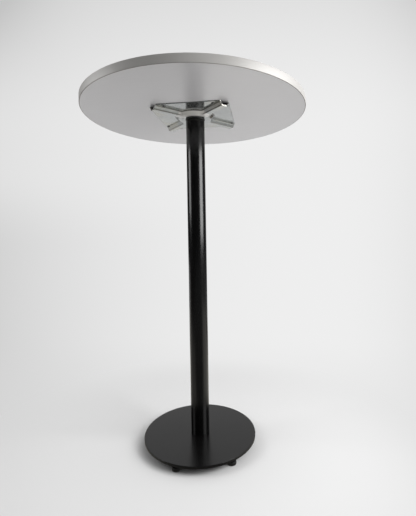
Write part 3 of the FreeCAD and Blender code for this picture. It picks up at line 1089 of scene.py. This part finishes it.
def mirroredFloor(x, y, reach):
    def zone(run, name):
        return run.fade(*mirrored[name])

    forthX, forthY = mirrored["toCamera"]
    forth, across = x * forthX + y * forthY, y * forthX - x * forthY
    spread = across * across / (forth * forth).atLeast(mirrored["least"])
    wedge = zone(forth, "wedgeFrom") * (1 - zone(spread, "wedgeSpread"))
    front = zone(0 - y, "frontFrom") * zone(reach, "frontOut") * (1 - zone(x, "frontRight"))
    right = zone(x, "rightFrom") * (1 - zone(y, "rightBack"))
    left = zone(0 - x, "leftFrom") * (1 - zone(y, "leftBack"))
    back = zone(y, "backFrom") * (1 - zone(y + zone(x, "backSkew"), "backEnd")) * zone(x * x, "backAside")
    back = back * zone(x, "backLeft").atLeast(zone(y, "backFar"))
    corner = zone(y, "cornerFrom") * zone(x, "cornerRight")
    pale = mirrored["floor"] - left * (mirrored["floor"] - mirrored["left"])
    pale = pale - wedge.atLeast(front).atLeast(right) * (pale - mirrored["dark"])
    pale = pale - back.atLeast(corner) * (pale - mirrored["back"])
    return pale * (1 - (1 - zone(reach, "nearOut")) * mirrored["nearFall"])


def makeFloor():
    mesh = bmesh.new()
    bmesh.ops.create_grid(mesh, x_segments=stage["squares"], y_segments=stage["squares"], size=stage["size"])
    floor = addMesh("studioFloor", mesh)
    paint = Paint("studioFloorPaper")
    place = paint.place()
    x, y = paint.axis(place, "X"), paint.axis(place, "Y")
    reach = (x * x + y * y) ** 0.5
    straight, shiny = paint.straightRay(), paint.shinyRay()

    # the paper's own glow, as the camera and as shiny pieces meet it
    tint = paint.mix(reach.fade(*mirrored["warmOut"]), mirrored["warm"], mirrored["plain"])
    brown = (0 - x).fade(*mirrored["brownFrom"]) * (1 - y.fade(*mirrored["brownBack"]))
    tint = paint.mix(brown, tint, mirrored["brown"])
    tinted = paint.node("ShaderNodeVectorMath", {"operation": "SCALE"},
                        {"Vector": tint, "Scale": mirroredFloor(x, y, reach) * shiny})
    colour = paint.node("ShaderNodeVectorMath", {"operation": "ADD"},
                        {0: tinted, 1: grey(paint, shownFloor(x, y) * straight)})
    glow = paint.node("ShaderNodeEmission", values={"Color": colour})

    # the lit paper, which takes the shadows, darker at its front end, with a painted shadow close under the
    # base
    end = (0 - y).fade(*stage["endFrom"]) * reach.fade(*stage["endOut"])
    aside, ahead = x - stage["underMiddle"][0], y - stage["underMiddle"][1]
    under = 1 - ((aside * aside + ahead * ahead) ** 0.5).fade(*stage["underOut"])
    paper = paint.mix(under * stage["under"], paint.mix(end, stage["colour"], stage["end"]), (0.0, 0.0, 0.0))
    lit = paint.node("ShaderNodeBsdfDiffuse", values={"Color": paper})
    share = reach.fade(*stage["glowOut"]) * straight + reach.fade(*stage["mirrorOut"]) * shiny
    mixed = paint.node("ShaderNodeMixShader", values={0: share, 1: lit, 2: glow})
    floor.data.materials.append(paint.close(mixed))


def shownWall(x, y, z):
    aside = x / y.atLeast(backdrop["wallAhead"])
    high = z.fade(*backdrop["highFrom"])
    fall = backdrop["sideFall"] + high * (backdrop["highSideFall"] - backdrop["sideFall"])
    out = (aside - backdrop["cornerMiddle"]) / backdrop["cornerOut"]
    corner, above = out * out, (z - backdrop["topFrom"]).atLeast(0.0)
    topFall = backdrop["topFall"] + corner * corner * backdrop["cornerFall"]
    shown = (farPaper(aside, fall) - above * above * topFall).atLeast(backdrop["least"])
    return backdrop["behind"] + y.fade(*backdrop["frontFrom"]) * (shown - backdrop["behind"])


def makeRoom():
    world = bpy.data.worlds.new("room")
    scene.world = world
    world.use_nodes = True
    paint = Paint("room", world.node_tree, "ShaderNodeOutputWorld")
    way = paint.node("ShaderNodeTexCoord", out="Generated")
    x, y, z = (paint.axis(way, axis) for axis in "XYZ")
    front, back = mirrored["wall"]
    middle = 1 - (x * x).fade(*mirrored["wallAside"])
    mirror = front + y.fade(*mirrored["wallFrom"]) * middle * (back - front)
    front, back = stage["ambient"]
    ambient = front + y.fade(*stage["ambientFrom"]) * (back - front)
    ambient = ambient + (x * x).fade(*stage["sidesFrom"]) * stage["sides"]
    nearRight = x.fade(*stage["nearRightFrom"]) * (0 - y).fade(*stage["nearFrom"])
    ambient = ambient + nearRight * stage["nearRight"]
    straight, shiny = paint.straightRay(), paint.shinyRay()
    level = straight * shownWall(x, y, z) + shiny * mirror + (1 - straight.atLeast(shiny)) * ambient
    paint.close(paint.node("ShaderNodeBackground", values={"Color": grey(paint, level)}))


softBoxes = {
    "rightBox": {"bearing": -16.5, "distance": 1.7, "width": 1.22, "low": 0.72, "high": 1.9, "level": 7.9},
    "leftBox": {"bearing": 194.0, "distance": 1.7, "width": 0.8, "low": 0.91, "high": 1.9, "level": 4.0},
}


def makeLamps():
    for name, box in softBoxes.items():
        light = bpy.data.lights.new(name, "AREA")
        light.shape = "RECTANGLE"
        tall = box["high"] - box["low"]
        light.size, light.size_y = box["width"], tall
        light.energy = box["level"] * math.pi * box["width"] * tall
        lamp = addObject(name, light)
        place = Matrix.Translation((0, -box["distance"], (box["low"] + box["high"]) / 2))
        turn = Matrix.Rotation(math.radians(box["bearing"] + 90), 4, "Z")
        lamp.matrix_world = turn @ place @ Matrix.Rotation(math.pi / 2, 4, "X")
        lamp.visible_camera = False


def makeCamera():
    camera = addObject("camera", bpy.data.cameras.new("camera"))
    camera.data.sensor_width = view["sensor"]
    camera.data.lens = view["lens"]
    camera.data.shift_x, camera.data.shift_y = view["shift"]
    camera.matrix_world = Matrix.Translation(view["place"])
    for angle, axis in ((-view["heading"], "Z"), (view["pitch"] + 90, "X"), (view["roll"], "Z")):
        camera.matrix_world @= Matrix.Rotation(math.radians(angle), 4, axis)
    scene.camera = camera


makeFloor()
makeRoom()
makeLamps()
makeCamera()
scene.view_settings.view_transform = "Standard"
print("stage, lamps and camera set")
